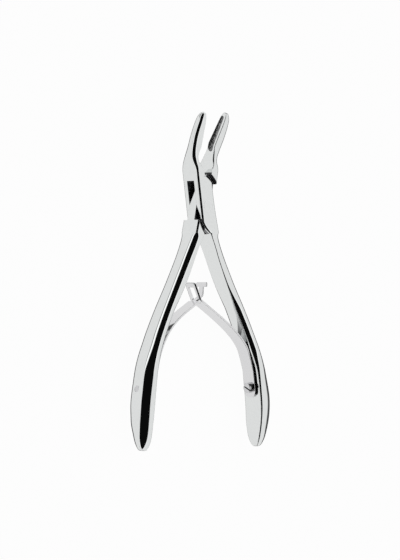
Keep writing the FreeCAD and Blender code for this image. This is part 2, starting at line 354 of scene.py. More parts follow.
def arc_through(a: Point, b: Point, c: Point, steps: int) -> list[Point]:
    """Points on the arc from a through b to c, without its last point.

    Args:
        a: the start.
        b: a point on the way.
        c: the end.
        steps: how many parts the arc is divided into.

    Returns:
        The points, the first of them a.
    """
    (ax, ay), (bx, by), (cx, cy) = a, b, c
    d = 2 * (ax * (by - cy) + bx * (cy - ay) + cx * (ay - by))
    sa, sb, sc = ax * ax + ay * ay, bx * bx + by * by, cx * cx + cy * cy
    ux = (sa * (by - cy) + sb * (cy - ay) + sc * (ay - by)) / d
    uy = (sa * (cx - bx) + sb * (ax - cx) + sc * (bx - ax)) / d
    radius = math.hypot(ax - ux, ay - uy)
    start, middle, end = (math.atan2(y - uy, x - ux) for x, y in (a, b, c))
    full = 2 * math.pi
    sweep = (end - start) % full
    if (middle - start) % full > sweep:
        sweep -= full
    turns = (start + sweep * i / steps for i in range(steps))
    return [(ux + radius * math.cos(t), uy + radius * math.sin(t)) for t in turns]


# ---- Finishes ----


@dataclass(frozen=True)
class Wiring:
    """The nodes of a material or of the world, and the ways to add to them."""

    tree: bpy.types.NodeTree

    @classmethod
    def emptied(cls, owner: bpy.types.World | bpy.types.Material) -> "Wiring":
        """The nodes of a new world or material, with none of them left.

        Args:
            owner: the world or material.

        Returns:
            The empty wiring.
        """
        owner.use_nodes = True
        owner.node_tree.nodes.clear()
        return cls(owner.node_tree)

    def add(self, kind: str, inputs: dict[int | str, object], **settings: object) -> bpy.types.Node:
        """Adds a node.

        Args:
            kind: the node's type.
            inputs: a plain value or the socket that feeds it, for each input by name or number.
            settings: the node's own properties.

        Returns:
            The node.
        """
        node = self.tree.nodes.new(kind)
        for name, value in settings.items():
            setattr(node, name, value)
        for key, value in inputs.items():
            self.feed(node.inputs[key], value)
        return node

    def feed(self, target: Socket, value: object) -> None:
        """Links a socket to an input, or sets the input where the value is a plain one.

        Args:
            target: the input.
            value: a socket or a plain value.
        """
        if isinstance(value, Socket):
            self.tree.links.new(value, target)
        else:
            target.default_value = value

    def sum(self, operation: str, first: Socket, second: object = 0.0) -> Socket:
        """The result of a sum with one or two values."""
        return self.add("ShaderNodeMath", {0: first, 1: second}, operation=operation).outputs[0]

    def dot(self, first: Socket, second: object) -> Socket:
        """The dot product of two vectors."""
        node = self.add("ShaderNodeVectorMath", {0: first, 1: second}, operation="DOT_PRODUCT")
        return node.outputs["Value"]

    def ranged(self, value: Socket, source: Point, target: Point = (0.0, 1.0)) -> Socket:
        """A value carried over from one range to another, and held inside it."""
        ends = dict(zip(("From Min", "From Max", "To Min", "To Max"), (*source, *target)))
        return self.add("ShaderNodeMapRange", {"Value": value, **ends}).outputs["Result"]

    def noise(self, place: Socket, scale: float, detail: float, roughness: float) -> Socket:
        """A cloudy pattern between 0 and 1."""
        inputs = {"Vector": place, "Scale": scale, "Detail": detail, "Roughness": roughness}
        return self.add("ShaderNodeTexNoise", inputs).outputs["Fac"]

    def blend(self, share: Socket, shaders: tuple[Socket, Socket]) -> Socket:
        """A share of the second shader over the first."""
        return self.add("ShaderNodeMixShader", {0: share, 1: shaders[0], 2: shaders[1]}).outputs[0]


@dataclass(frozen=True)
class Finish:
    """A steel surface: its tone, its gloss and the marks that finishing left on it."""

    name: str
    tone: tuple[float, float, float]
    gloss: Point
    grain: tuple[float, float, float]
    grain_depth: float
    wave_depth: float = 0.0
    wave_scale: float = 160.0
    edge_round: float = 0.12
    mottle: float = 0.97
    mottle_range: Point = (0.4, 0.6)
    worn: tuple[float, float, float] = (0.86, 0.86, 0.87)
    wear_reach: float = 0.35
    wear_range: Point = (0.86, 0.995)
    mark_range: Point = (0.12, 0.42)
    mark_pattern: Point = (5.0, 0.65)
    wave_pattern: Point = (3.0, 0.5)
    wear_samples: int = 4
    edge_samples: int = 6

    def material(self) -> bpy.types.Material:
        """The material, made when it is first asked for."""
        made = bpy.data.materials.get(self.name)
        return made if made else self.make()

    def put_on(self, piece: Piece) -> None:
        """Gives a piece this finish alone."""
        piece.data.materials.clear()
        piece.data.materials.append(self.material())

    def make(self) -> bpy.types.Material:
        """Builds the nodes: eased edges, fine marks, slow waves, and brighter worn edges.

        Returns:
            The new material.
        """
        material = bpy.data.materials.new(self.name)
        material.use_nodes = True
        wiring = Wiring(material.node_tree)
        place = wiring.add("ShaderNodeTexCoord", {}).outputs["Object"]
        stretched = wiring.add("ShaderNodeMapping", {"Vector": place, "Scale": self.grain})
        marks = wiring.noise(stretched.outputs["Vector"], 1.0, *self.mark_pattern)
        waves = wiring.noise(place, self.wave_scale, *self.wave_pattern)
        inputs = material.node_tree.nodes["Principled BSDF"].inputs
        inputs["Metallic"].default_value = 1.0
        both = wiring.sum("MULTIPLY", marks, waves)
        wiring.feed(inputs["Roughness"], wiring.ranged(both, self.mark_range, self.gloss))
        wiring.feed(inputs["Base Color"], self.colour(wiring, marks))
        wiring.feed(inputs["Normal"], self.relief(wiring, marks, waves))
        return material

    def colour(self, wiring: Wiring, marks: Socket) -> Socket:
        """The tone, brighter where an edge is worn and darker in the spots between the marks.

        Args:
            wiring: the material's nodes.
            marks: the noise of the finishing marks.

        Returns:
            The socket that carries the colour.
        """
        radius = {"Radius": self.wear_reach * MM}
        eased = wiring.add("ShaderNodeBevel", radius, samples=self.wear_samples)
        shape = wiring.add("ShaderNodeNewGeometry", {})
        likeness = wiring.dot(eased.outputs["Normal"], shape.outputs["Normal"])
        wear = wiring.ranged(likeness, self.wear_range, (1.0, 0.0))
        tones = {"A": (*self.tone, 1.0), "B": (*self.worn, 1.0), "Factor": wear}
        tone = wiring.add("ShaderNodeMix", tones, data_type="RGBA").outputs["Result"]
        spots = wiring.ranged(marks, self.mottle_range, (self.mottle, 1.0))
        layers = {"A": tone, "B": spots, "Factor": 1.0}
        spotted = wiring.add("ShaderNodeMix", layers, data_type="RGBA", blend_type="MULTIPLY")
        return spotted.outputs["Result"]

    def relief(self, wiring: Wiring, marks: Socket, waves: Socket) -> Socket:
        """The normal, with eased edges, slow waves and fine marks.

        Args:
            wiring: the material's nodes.
            marks: the noise of the finishing marks.
            waves: the noise of the slow waves.

        Returns:
            The socket that carries the normal.
        """
        radius = {"Radius": self.edge_round * MM}
        eased = wiring.add("ShaderNodeBevel", radius, samples=self.edge_samples)
        normal = eased.outputs["Normal"]
        for noise, depth in ((waves, self.wave_depth), (marks, self.grain_depth)):
            if depth:
                inputs = {"Strength": 1.0, "Distance": depth * MM, "Height": noise, "Normal": normal}
                normal = wiring.add("ShaderNodeBump", inputs).outputs["Normal"]
        return normal


EVEN_GRAIN = (900.0, 900.0, 900.0)
POLISHED = Finish("polished_steel", (0.790, 0.805, 0.800), (0.035, 0.075), EVEN_GRAIN, 0.0006, 0.004)
# The finish of the cut faces in the slots, the holes and the screw's slot: rougher, as machined, and with a
# dark tone that is painted shade in these recesses.
MACHINED_PAINTED_SHADE = Finish("machined_slot_painted_shade", (0.16, 0.16, 0.165), (0.22, 0.38), (300.0, 3000.0, 300.0), 0.004)
GROUND = Finish("ground_cup", (0.58, 0.585, 0.585), (0.42, 0.75), (1500.0, 800.0, 1500.0), 0.06, mottle=0.2)
SPRING = Finish("spring_steel", (0.775, 0.79, 0.785), (0.06, 0.14), (2500.0, 300.0, 400.0), 0.001)
TURNED = Finish("turned_screw", (0.66, 0.66, 0.67), (0.12, 0.26), (900.0, 2600.0, 2600.0), 0.003)


# ---- The levers ----


@dataclass(frozen=True)
class Section:
    """A cross-section that is flat on its inner side and rounded off on its outer side."""

    width: float
    depth: float
    front_across: float
    front_through: float
    front_power: float
    rear_round: float
    inner_round: float
    inner_share: float = 0.45
    face_steps: int = 5
    curve_steps: int = 14
    inner_steps: int = 8

    @property
    def inner(self) -> float:
        """The inner radius, held to what the width has room for."""
        return min(self.inner_round, self.inner_share * self.width)

    def corner(self, across: float, through: float, power: float) -> list[Point]:
        """The outer half of the outline on one side of mid-depth, from the inner side outwards.

        Args:
            across: how far the rounding reaches across the width.
            through: how far it reaches through the depth.
            power: 2 for an ellipse, less for a flatter corner.

        Returns:
            The points, down to just before mid-depth.
        """
        half, r = self.depth / 2, self.inner
        across, through = min(across, self.width - r), min(through, half)
        start, bend = self.width - across, 2 / power
        face = [(r + (start - r) * i / self.face_steps, half) for i in range(self.face_steps)]
        curve = []
        for i in range(self.curve_steps):
            turn = math.pi / 2 * i / self.curve_steps
            drop = through * (1 - math.cos(turn) ** bend)
            curve.append((start + across * math.sin(turn) ** bend, half - drop))
        side = [(self.width, (half - through) * (1 - i / 2)) for i in range(2)]
        return face + curve + side

    def points(self) -> list[Point]:
        """The whole outline, as distances from the inner face and from mid-depth.

        Returns:
            The points, in order round the section.
        """
        half, r = self.depth / 2, self.inner
        front = self.corner(self.front_across, self.front_through, self.front_power)
        rear = self.corner(self.rear_round, self.rear_round, 2.0)
        outer = [*front, (self.width, 0.0), *((u, -w) for u, w in reversed(rear))]
        turns = [i * math.pi / 2 / self.inner_steps for i in range(1, self.inner_steps + 1)]
        low = [(r - r * math.sin(t), -(half - r + r * math.cos(t))) for t in turns]
        face = [(0.0, (half - r) * side) for side in (-0.5, 0.0, 0.5)]
        high = [(u, -w) for u, w in reversed(low)]
        return [*outer, *low, *face, *high]


@dataclass
class Lever:
    """One lever of the rongeur: jaw, half of the box joint and the opposite handle in one."""

    name: str
    jaw_side: Side
    body: str

    half_width: float = 4.2
    high_corner: float = 10.2
    high_shoulder: Point = (2.5, 12.3)
    high_crotch: float = 14.3
    low_corner: float = -7.1
    low_shoulder: Point = (-2.35, -10.4)
    low_crotch: float = -12.9
    jaw_root: float = 17.0
    handle_root: float = 5.2
    flank: Point = (4.45, -3.0)
    shoulder_steps: int = 14
    flank_steps: int = 12
    edge_round: float = 1.2
    edge_segments: int = 6
    shoulder_gap: float = 0.12
    meeting_gap: float = 0.04
    meeting_reach: float = 0.2
    slot_width: float = 4.9
    tenon_thickness: float = 4.8
    slot_ends: Point = (12.0, -10.6)
    slot_deep: float = 1.2
    slot_margin: float = 2.0

    bend_start: float = 18.5
    bend_radius: float = 14.0
    bend_angle: float = 26.5

    # Height along Y, inner x, outer x, depth, then the front corner's reach across and through and
    # its power, the rear radius and the inner radius.
    jaw_stations: Stations = (
        (17.0, 0.04, 4.20, 11.2, 1.2, 1.2, 2.0, 1.2, 0.5),
        (19.0, 0.95, 4.20, 10.4, 1.5, 1.5, 2.0, 1.5, 0.6),
        (21.3, 1.30, 4.20, 8.6, 1.8, 1.7, 2.0, 1.8, 0.7),
        (23.6, 1.25, 4.35, 6.9, 2.2, 1.8, 2.0, 2.0, 0.7),
        (26.0, 0.75, 4.50, 5.8, 2.3, 1.8, 2.0, 2.0, 0.5),
        (28.4, 0.04, 4.60, 5.2, 2.3, 1.8, 2.0, 1.9, 0.25),
        (31.5, 0.04, 4.55, 4.8, 2.2, 1.7, 2.0, 1.8, 0.25),
        (35.0, 0.04, 4.20, 4.5, 2.0, 1.6, 2.0, 1.7, 0.25),
        (38.4, 0.04, 3.55, 4.3, 1.8, 1.5, 2.0, 1.6, 0.25),
        (40.8, 0.04, 2.90, 3.5, 1.5, 1.3, 2.0, 1.4, 0.25),
        (42.2, 0.04, 1.90, 2.3, 1.0, 1.0, 2.0, 1.0, 0.20),
    )
    cup_heel: Point = (26.7, 2.2)
    cup_toe: Point = (40.0, 1.2)
    cup_axis: float = -0.45
    cup_back: float = 0.55
    cup_sides: int = 72

    # The same, but with the thickness in place of the outer x.
    handle_stations: Stations = (
        (-12.9, 0.10, 5.06, 11.2, 1.2, 1.2, 2.0, 1.2, 0.6),
        (-14.5, 0.60, 4.80, 10.8, 2.6, 3.2, 2.0, 2.0, 0.35),
        (-19.0, 2.05, 4.65, 10.2, 3.0, 3.8, 2.0, 2.4, 0.35),
        (-26.0, 3.895, 5.00, 9.6, 3.0, 4.0, 2.0, 2.4, 0.35),
        (-36.0, 6.745, 5.55, 9.6, 3.0, 4.2, 2.0, 2.4, 0.6),
        (-50.0, 11.445, 5.85, 10.4, 3.0, 4.3, 2.0, 2.6, 2.8),
        (-58.0, 14.15, 5.75, 10.9, 3.0, 4.4, 2.0, 2.8, 4.2),
        (-65.0, 16.095, 5.80, 11.4, 3.0, 4.4, 2.0, 3.0, 3.6),
        (-72.0, 17.65, 6.10, 11.8, 3.2, 4.0, 1.8, 3.0, 2.2),
        (-80.0, 18.80, 6.25, 12.0, 3.6, 2.8, 1.4, 3.5, 1.2),
        (-92.0, 18.605, 6.80, 12.0, 3.8, 2.0, 1.2, 3.5, 0.9),
        (-101.0, 17.95, 6.50, 11.4, 3.8, 2.0, 1.2, 4.2, 0.8),
        (-107.5, 17.095, 5.85, 9.2, 3.4, 2.1, 1.3, 4.3, 0.8),
        (-111.6, 16.695, 4.90, 6.8, 2.6, 2.0, 1.6, 3.0, 0.7),
        (-113.5, 17.06, 3.20, 3.4, 1.6, 1.6, 2.0, 1.6, 0.4),
    )

    jaw_steps: int = 60
    handle_steps: int = 96
    handle_crowding: float = 1.6
    ease_passes: int = 3
    lean_passes: int = 4
    root_sink: float = 0.5
    root_draw: Point = (0.03, 0.012)
    jaw_tip: tuple[float, Vector] = (0.72, Vector((0, 0.22, 0.11)))
    handle_end: tuple[float, Vector] = (0.6, Vector((0, -0.3, 0)))

    def outline(self, gap: float = 0.0) -> list[Point]:
        """The joint outline of a lever whose jaw is on the left.

        Args:
            gap: how much the outline is widened.

        Returns:
            Its points, in order.
        """
        half, meet = self.half_width + gap, self.meeting_gap - gap
        low, high = self.low_crotch - gap, self.high_crotch + gap
        low_corner, high_corner = (-half, self.low_corner - gap), (half, self.high_corner + gap)
        low_bend = (self.low_shoulder[0] - gap, self.low_shoulder[1] - gap)
        high_bend = (self.high_shoulder[0] + gap, self.high_shoulder[1] + gap)
        root, flank = (self.handle_root + gap, low), (self.flank[0] + gap, self.flank[1])
        return [
            (-half, self.jaw_root),
            *arc_through(low_corner, low_bend, (meet, low), self.shoulder_steps),
            (meet, low),
            *arc_through(root, flank, high_corner, self.flank_steps),
            *arc_through(high_corner, high_bend, (-meet, high), self.shoulder_steps),
            (-meet, high),
            *([(-self.meeting_gap, high)] if gap else []),
            (-self.meeting_gap, self.jaw_root),
        ]

    def block(self) -> Piece:
        """The full joint block, its long edges rounded.

        Returns:
            The block.
        """
        piece = Bench.prism(self.name, self.outline(), (0.0, JOINT_THICKNESS), POLISHED)

        def work(mesh: Mesh) -> None:
            """Rounds the long edges."""
            Bench.choose(mesh, "EDGE", lambda edge: self.is_soft(*(point.co / MM for point in edge.verts)))
            Bench.bevel(self.edge_round, self.edge_segments)

        Bench.shape(piece, work)
        self.paint_shoulder_shade(piece)
        return piece

    def paint_shoulder_shade(self, piece: Piece) -> None:
        """Gives the lower shoulder, which polishing doesn't reach, the machined finish of the slot, whose
        dark tone is painted shade on this wall.

        Args:
            piece: the joint block.
        """
        piece.data.materials.append(MACHINED_PAINTED_SHADE.material())
        piece.active_material_index = 1

        def is_wall(face: bmesh.types.BMFace) -> bool:
            """Whether a face belongs to the lower shoulder."""
            middle = face.calc_center_median() / MM
            low = self.low_crotch < middle.y < self.low_corner
            return low and middle.x < WALL_TOLERANCE and abs(face.normal.z) < WALL_TOLERANCE

        def work(mesh: Mesh) -> None:
            """Gives the shoulder the second finish, the one with painted shade."""
            Bench.choose(mesh, "FACE", is_wall)
            bpy.ops.object.material_slot_assign()

        Bench.shape(piece, work)

    def is_soft(self, a: Vector, b: Vector) -> bool:
        """Whether an edge of the block is one of its rounded long edges.

        Args:
            a: one end of the edge, in millimetres.
            b: its other end.

        Returns:
            True for the edges that are rounded.
        """
        level = abs(a.z - b.z) < LEVEL_TOLERANCE
        ends = (self.jaw_root, self.low_crotch)
        at_end = any(max(abs(a.y - y), abs(b.y - y)) < LEVEL_TOLERANCE for y in ends)
        at_meeting = max(abs(a.x), abs(b.x)) < self.meeting_reach
        return level and not at_end and not at_meeting

    def jaw_place(self, y: float) -> tuple[float, float]:
        """Depth offset and lean, in radians, of the bent jaw's centre line at a height.

        Args:
            y: the height above the pivot.

        Returns:
            The offset and the lean.
        """
        angle = math.radians(self.bend_angle)
        end = self.bend_start + self.bend_radius * math.sin(angle)
        if y <= self.bend_start:
            return 0.0, 0.0
        if y < end:
            lean = math.asin((y - self.bend_start) / self.bend_radius)
            return self.bend_radius * (1 - math.cos(lean)), lean
        return self.bend_radius * (1 - math.cos(angle)) + (y - end) * math.tan(angle), angle

    def courses(self, stations: Stations) -> list[Course]:
        """One smooth course for each column of a table of stations."""
        columns = list(zip(*stations))
        return [Course(columns[0], column) for column in columns[1:]]

    def tables(self, stations: Stations, heights: Sequence[float]) -> list[tuple[float, ...]]:
        """The eased values of every column of a table of stations, for each height."""
        courses = self.courses(stations)
        return list(zip(*(evened([c.at(y) for y in heights], self.ease_passes) for c in courses)))

    def rooted(self, rings: list[list[Vector]], sink: float) -> list[list[Vector]]:
        """The rings with one more inside the joint, drawn in a little so that no faces coincide.

        Args:
            rings: the sections, the first of them at the joint.
            sink: how far along Y the new ring lies from the first.

        Returns:
            The new run of rings.
        """
        first, (deep, near) = rings[0], self.root_draw
        sunk = [spot + Vector((0, sink, 0)) + self.towards(spot, first, deep) for spot in first]
        drawn = [spot + self.towards(spot, first, near) for spot in first]
        return [sunk, drawn, *rings[1:]]

    def jaw(self) -> Piece:
        """The left jaw without its cup.

        Returns:
            The closed shape, rooted in the joint block.
        """
        root, tip = self.jaw_root, self.jaw_stations[-1][0]
        heights = [root + (tip - root) * i / self.jaw_steps for i in range(self.jaw_steps + 1)]
        leans = evened([self.jaw_place(y)[1] for y in heights], self.lean_passes)
        rings = []
        for y, lean, values in zip(heights, leans, self.tables(self.jaw_stations, heights)):
            inner, outer, *form = values
            rings.append(self.jaw_ring(Section(outer - inner, *form), inner, y, lean))
        rings.append(self.cap(rings[-1], *self.jaw_tip))
        return Bench.loft("jaw", self.rooted(rings, -self.root_sink), POLISHED)

    def jaw_ring(self, section: Section, inner: float, y: float, lean: float) -> list[Vector]:
        """A section of the left jaw, laid square to the bent centre line.

        Args:
            section: its outline.
            inner: the x of its inner face, without the sign.
            y: its height above the pivot.
            lean: its lean in radians.

        Returns:
            The ring.
        """
        offset = self.jaw_place(y)[0]
        through = Vector((0, -math.sin(lean), math.cos(lean)))
        centre = Vector((-inner, y, MID_Z + offset))
        return [centre + Vector((-u, 0, 0)) + through * w for u, w in section.points()]

    @staticmethod
    def cap(ring: Sequence[Vector], scale: float, move: Vector) -> list[Vector]:
        """A smaller ring just beyond an end, which rounds it."""
        centre = sum(ring, Vector()) / len(ring)
        return [centre + (spot - centre) * scale + move for spot in ring]

    @staticmethod
    def towards(spot: Vector, ring: Sequence[Vector], distance: float) -> Vector:
        """A short step from a point of a ring towards the ring's centre."""
        return (sum(ring, Vector()) / len(ring) - spot).normalized() * distance

    def cup(self) -> Piece:
        """The tapered round-ended cutter that scoops the left jaw's cup.

        Returns:
            The cutter.
        """
        heel_y, heel = self.cup_heel
        toe_y, toe = self.cup_toe
        offset, lean = self.jaw_place(heel_y)
        length = (toe_y - heel_y) / math.cos(lean)
        sides = self.cup_sides
        Bench.clear()
        bpy.ops.mesh.primitive_uv_sphere_add(segments=sides, ring_count=sides // 2, radius=heel * MM)
        tool = bpy.context.object
        Bench.place(tool, turned(-90, "X"))

        def work(mesh: Mesh) -> None:
            """Shrinks the front half of the ball and draws it forward."""
            Bench.choose(mesh, "VERT", lambda point: point.co.y > LEVEL_TOLERANCE * MM)
            mesh.select_flush_mode()
            bpy.ops.transform.resize(value=(toe / heel,) * 3, center_override=(0, 0, 0))
            bpy.ops.transform.translate(value=(0, length * MM, 0))

        Bench.shape(tool, work)
        move = Vector((-self.cup_axis, heel_y, MID_Z + offset))
        back = Vector((0, math.sin(lean), -math.cos(lean))) * self.cup_back
        Bench.place(tool, Matrix.Rotation(lean, 3, "X"), move + back)
        GROUND.put_on(tool)
        return tool

    def handle(self) -> Piece:
        """The right handle.

        Returns:
            The closed shape, rooted in the joint block.
        """
        root, end, steps = self.low_crotch, self.handle_stations[-1][0], self.handle_steps
        shares = [(i / steps + (i / steps) ** self.handle_crowding) / 2 for i in range(steps + 1)]
        heights = [root + (end - root) * share for share in shares]
        rings = []
        for y, values in zip(heights, self.tables(self.handle_stations, heights)):
            inner, thickness, depth, *form = values
            middle = max(MID_Z, depth / 2)
            points = Section(thickness, depth, *form).points()
            rings.append([Vector((inner + u, y, middle + w)) for u, w in points])
        rings.append(self.cap(rings[-1], *self.handle_end))
        return Bench.loft("handle", self.rooted(rings, self.root_sink), POLISHED)

    def whole(self) -> Piece:
        """The lever before its joint is cut, with its jaw on the left.

        Returns:
            The lever in one piece.
        """
        piece = self.block()
        jaw = self.jaw()
        Bench.cut_away(jaw, self.cup())
        Bench.combine(piece, self.handle(), "UNION")
        Bench.combine(piece, jaw, "UNION")
        return piece

    @staticmethod
    def cut_layer(piece: Piece, outline: Sequence[Point], low: float, high: float) -> None:
        """Cuts an outline out of a piece between two levels, measured from mid-depth; the cut faces take
        the machined finish, whose dark tone is painted shade.
        """
        Bench.cut_away(piece, Bench.prism("cutter", outline, (MID_Z + low, MID_Z + high), MACHINED_PAINTED_SHADE))

    def cut_slot(self, piece: Piece) -> None:
        """Cuts the mouth that the other lever's tenon passes through.

        Args:
            piece: the whole lever.
        """
        half = self.slot_width / 2
        socket = [(-x, y) for x, y in reversed(self.outline(self.shoulder_gap))]
        self.cut_layer(piece, socket, -half, half)
        for side, end in zip((-1, 1), self.slot_ends):
            outside, root = side * (self.half_width + self.slot_margin), side * self.slot_margin
            mouth = [(outside, root), (outside, end), (side * self.slot_deep, end), (0, root)]
            self.cut_layer(piece, mouth, -half, half)

    def cut_tenon(self, piece: Piece) -> None:
        """Cuts both cheeks off the joint, so that only the tenon is left there.

        Args:
            piece: the whole lever, its jaw on the right.
        """
        half, reach = self.tenon_thickness / 2, JOINT_THICKNESS
        beside, low_y, high_y = -2 * self.flank[0], self.low_corner, self.high_corner
        corners = [(beside, low_y), (0, low_y), (0, high_y), (beside, high_y)]
        for low, high in ((half, reach), (-reach, -half)):
            self.cut_layer(piece, self.outline(self.shoulder_gap), low, high)
            self.cut_layer(piece, corners, low, high)

    def make(self, pin: "PivotPin", screw: "SpringScrew") -> Piece:
        """Builds the lever in its open pose.

        Args:
            pin: the pin whose hole it has.
            screw: the spring screw whose hole it has.

        Returns:
            The finished lever.
        """
        piece = self.whole()
        Bench.cut_away(piece, screw.hole())
        if self.jaw_side is Side.LEFT:
            self.cut_slot(piece)
        else:
            Bench.mirror(piece)
            self.cut_tenon(piece)
        Bench.cut_away(piece, pin.shape("hole"))
        Bench.place(piece, turned(-HALF_OPENING * self.jaw_side.value))
        Bench.even_normals(piece)
        Bench.soften(piece)
        piece.name = self.name + "_body"
        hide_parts(self.name)
        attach(piece, self.body)
        return piece


# ---- Small parts ----


@dataclass
class PivotPin:
    """The rivet of the box joint, flush in a countersink on each side."""

    radius: float = 2.0
    head_radius: float = 2.5
    head_depth: float = 0.7
    sides: int = 72

    def shape(self, name: str) -> Piece:
        """The pin with its two conical heads, on the pivot axis.

        Args:
            name: the piece's name.

        Returns:
            The pin, or the cutter for its hole.
        """
        length = JOINT_THICKNESS - 2 * self.head_depth
        Bench.clear()
        bpy.ops.mesh.primitive_cylinder_add(vertices=self.sides, radius=self.radius * MM, depth=length * MM)
        piece = bpy.context.object
        piece.name = name
        Bench.place(piece, Matrix.Identity(3), Vector((0, 0, MID_Z)))

        def work(mesh: Mesh) -> None:
            """Draws a cone out of each end."""
            wide = self.head_radius / self.radius
            for side in (-1, 1):
                Bench.choose(mesh, "FACE", lambda face: face.normal.z * side > FACING)
                move = {"value": (0, 0, side * self.head_depth * MM)}
                bpy.ops.mesh.extrude_region_move(TRANSFORM_OT_translate=move)
                centre = (0, 0, (1 + side) * MID_Z * MM)
                bpy.ops.transform.resize(value=(wide, wide, 1), center_override=centre)

        Bench.shape(piece, work)
        POLISHED.put_on(piece)
        return piece

    def make(self) -> Piece:
        """Builds the pin in the slotted lever.

        Returns:
            The finished pin.
        """
        piece = self.shape("pivot_pin_body")
        Bench.soften(piece)
        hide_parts("pivot_pin")
        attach(piece, "slotted_side")
        return piece


@dataclass
class SpringScrew:
    """A slotted cheese-head screw that holds a leaf spring on its handle."""

    lever: Lever
    seat_y: float = -86.5
    head_radius: float = 2.4
    head_height: float = 1.7
    head_chamfer: float = 0.3
    shank_radius: float = 1.5
    slot_width: float = 0.7
    slot_depth: float = 1.0
    slot_turn: float = 25.0
    slot_length: float = 12.0
    seat_gap: float = 1.11
    hole_reach: Point = (-2.0, 12.0)
    tail_chamfer: float = 0.1
    head_segments: int = 4
    tail_segments: int = 2

    def handle_courses(self) -> tuple[Course, Course]:
        """Inner x and thickness of the right handle along Y, with the jaws shut."""
        inner, thickness, *_ = self.lever.courses(self.lever.handle_stations)
        return inner, thickness

    def seat(self) -> tuple[Matrix, Vector]:
        """The turn and the move that carry a shape along +X onto the inner face, square to it.

        Returns:
            The rotation, and the shift after it.
        """
        inner, span = self.handle_courses()[0], 2.0
        rise = inner.at(self.seat_y - span) - inner.at(self.seat_y + span)
        turn = Matrix.Rotation(math.atan2(rise, 2 * span), 3, "Z")
        return turn, Vector((inner.at(self.seat_y), self.seat_y, MID_Z))

    def disc(self, radius: float, start: float, end: float) -> Piece:
        """A round bar along X, from one x to another.

        Args:
            radius: its radius.
            start: the x of its left end.
            end: the x of its right end.

        Returns:
            The bar.
        """
        size = {"radius": radius * MM, "depth": (end - start) * MM}
        Bench.clear()
        bpy.ops.mesh.primitive_cylinder_add(vertices=ROUND_SIDES, **size)
        piece = bpy.context.object
        Bench.place(piece, turned(90, "Y"), Vector(((start + end) / 2, 0, 0)))
        return piece

    def hole(self) -> Piece:
        """The cutter for the threaded hole across the right handle.

        Returns:
            The cutter.
        """
        tool = self.disc(self.shank_radius, *self.hole_reach)
        Bench.place(tool, *self.seat())
        # The hole's walls take the machined finish, whose dark tone is painted shade.
        MACHINED_PAINTED_SHADE.put_on(tool)
        return tool

    def make(self, side: Side) -> Piece:
        """Builds the screw of one handle in the open pose.

        Args:
            side: the handle that the screw is in.

        Returns:
            The finished screw.
        """
        top = -(self.seat_gap + self.head_height)
        piece = self.disc(self.head_radius, top, top + self.head_height)
        Bench.shape(piece, self.shape_head)
        TURNED.put_on(piece)
        Bench.cut_away(piece, self.blade_slot(top))
        Bench.place(piece, *self.seat())
        if side is Side.LEFT:
            Bench.mirror(piece)
        Bench.place(piece, turned(HALF_OPENING * side.value))
        Bench.even_normals(piece)
        Bench.soften(piece)
        node = "window_spring_screw" if side is Side.RIGHT else "tee_spring_screw"
        piece.name = node + "_body"
        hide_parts(node)
        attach(piece, "slotted_side" if side is Side.RIGHT else "tenon_side")
        return piece

    def shape_head(self, mesh: Mesh) -> None:
        """Rounds the rim of the head, in edit mode, and draws the shank out of its underside.

        Args:
            mesh: the head, a plain disc.
        """
        top = -(self.seat_gap + self.head_height) * MM
        reach = LEVEL_TOLERANCE * MM
        Bench.choose(mesh, "EDGE", lambda edge: all(abs(p.co.x - top) < reach for p in edge.verts))
        Bench.bevel(self.head_chamfer, self.head_segments)
        Bench.choose(mesh, "FACE", lambda face: face.normal.x > FACING)
        bpy.ops.mesh.inset(thickness=(self.head_radius - self.shank_radius) * MM)
        length = (self.seat_gap + self.handle_courses()[1].at(self.seat_y)) * MM
        bpy.ops.mesh.extrude_region_move(TRANSFORM_OT_translate={"value": (length, 0, 0)})
        Bench.bevel(self.tail_chamfer, self.tail_segments)

    def blade_slot(self, top: float) -> Piece:
        """The cutter for the slot across the head, whose face is at x = top.

        Args:
            top: the x of the head's face.

        Returns:
            The cutter.
        """
        Bench.clear()
        bpy.ops.mesh.primitive_cube_add(size=MM)
        tool = bpy.context.object
        Bench.place(tool, Matrix.Diagonal((2 * self.slot_depth, self.slot_width, self.slot_length)))
        Bench.place(tool, turned(self.slot_turn, "X"), Vector((top, 0, 0)))
        # The slot's walls take the machined finish, whose dark tone is painted shade.
        MACHINED_PAINTED_SHADE.put_on(tool)
        return tool


# ---- The leaf springs ----


@dataclass(frozen=True)
class Hook:
    """How a leaf runs up to the crossing and beyond, and the form of its upturned end."""

    name: str
    # The sign of x of its handle.
    side: int
    # How far it keeps its direction beyond the handle and before the crossing, and how far it runs
    # past the crossing before it turns up.
    pulls: Point
    run: float
    # The height of the upturned end, and how many degrees it leans from +Y towards -X.
    lift: float
    lean: float
    # How much of the end is filed round, and the radius of the corners there.
    filed: float
    tip_round: float
    # Where a narrow neck begins and ends, as distances from the tip.
    neck: tuple[float, ...] = ()


WINDOW = Hook("window", 1, (9.0, 12.0), 0.0, 8.5, 24.5, 9.3, 1.4)
TEE = Hook("tee", -1, (16.0, 11.0), 3.7, 6.0, -5.0, 9.7, 0.7, (2.0, 11.2))


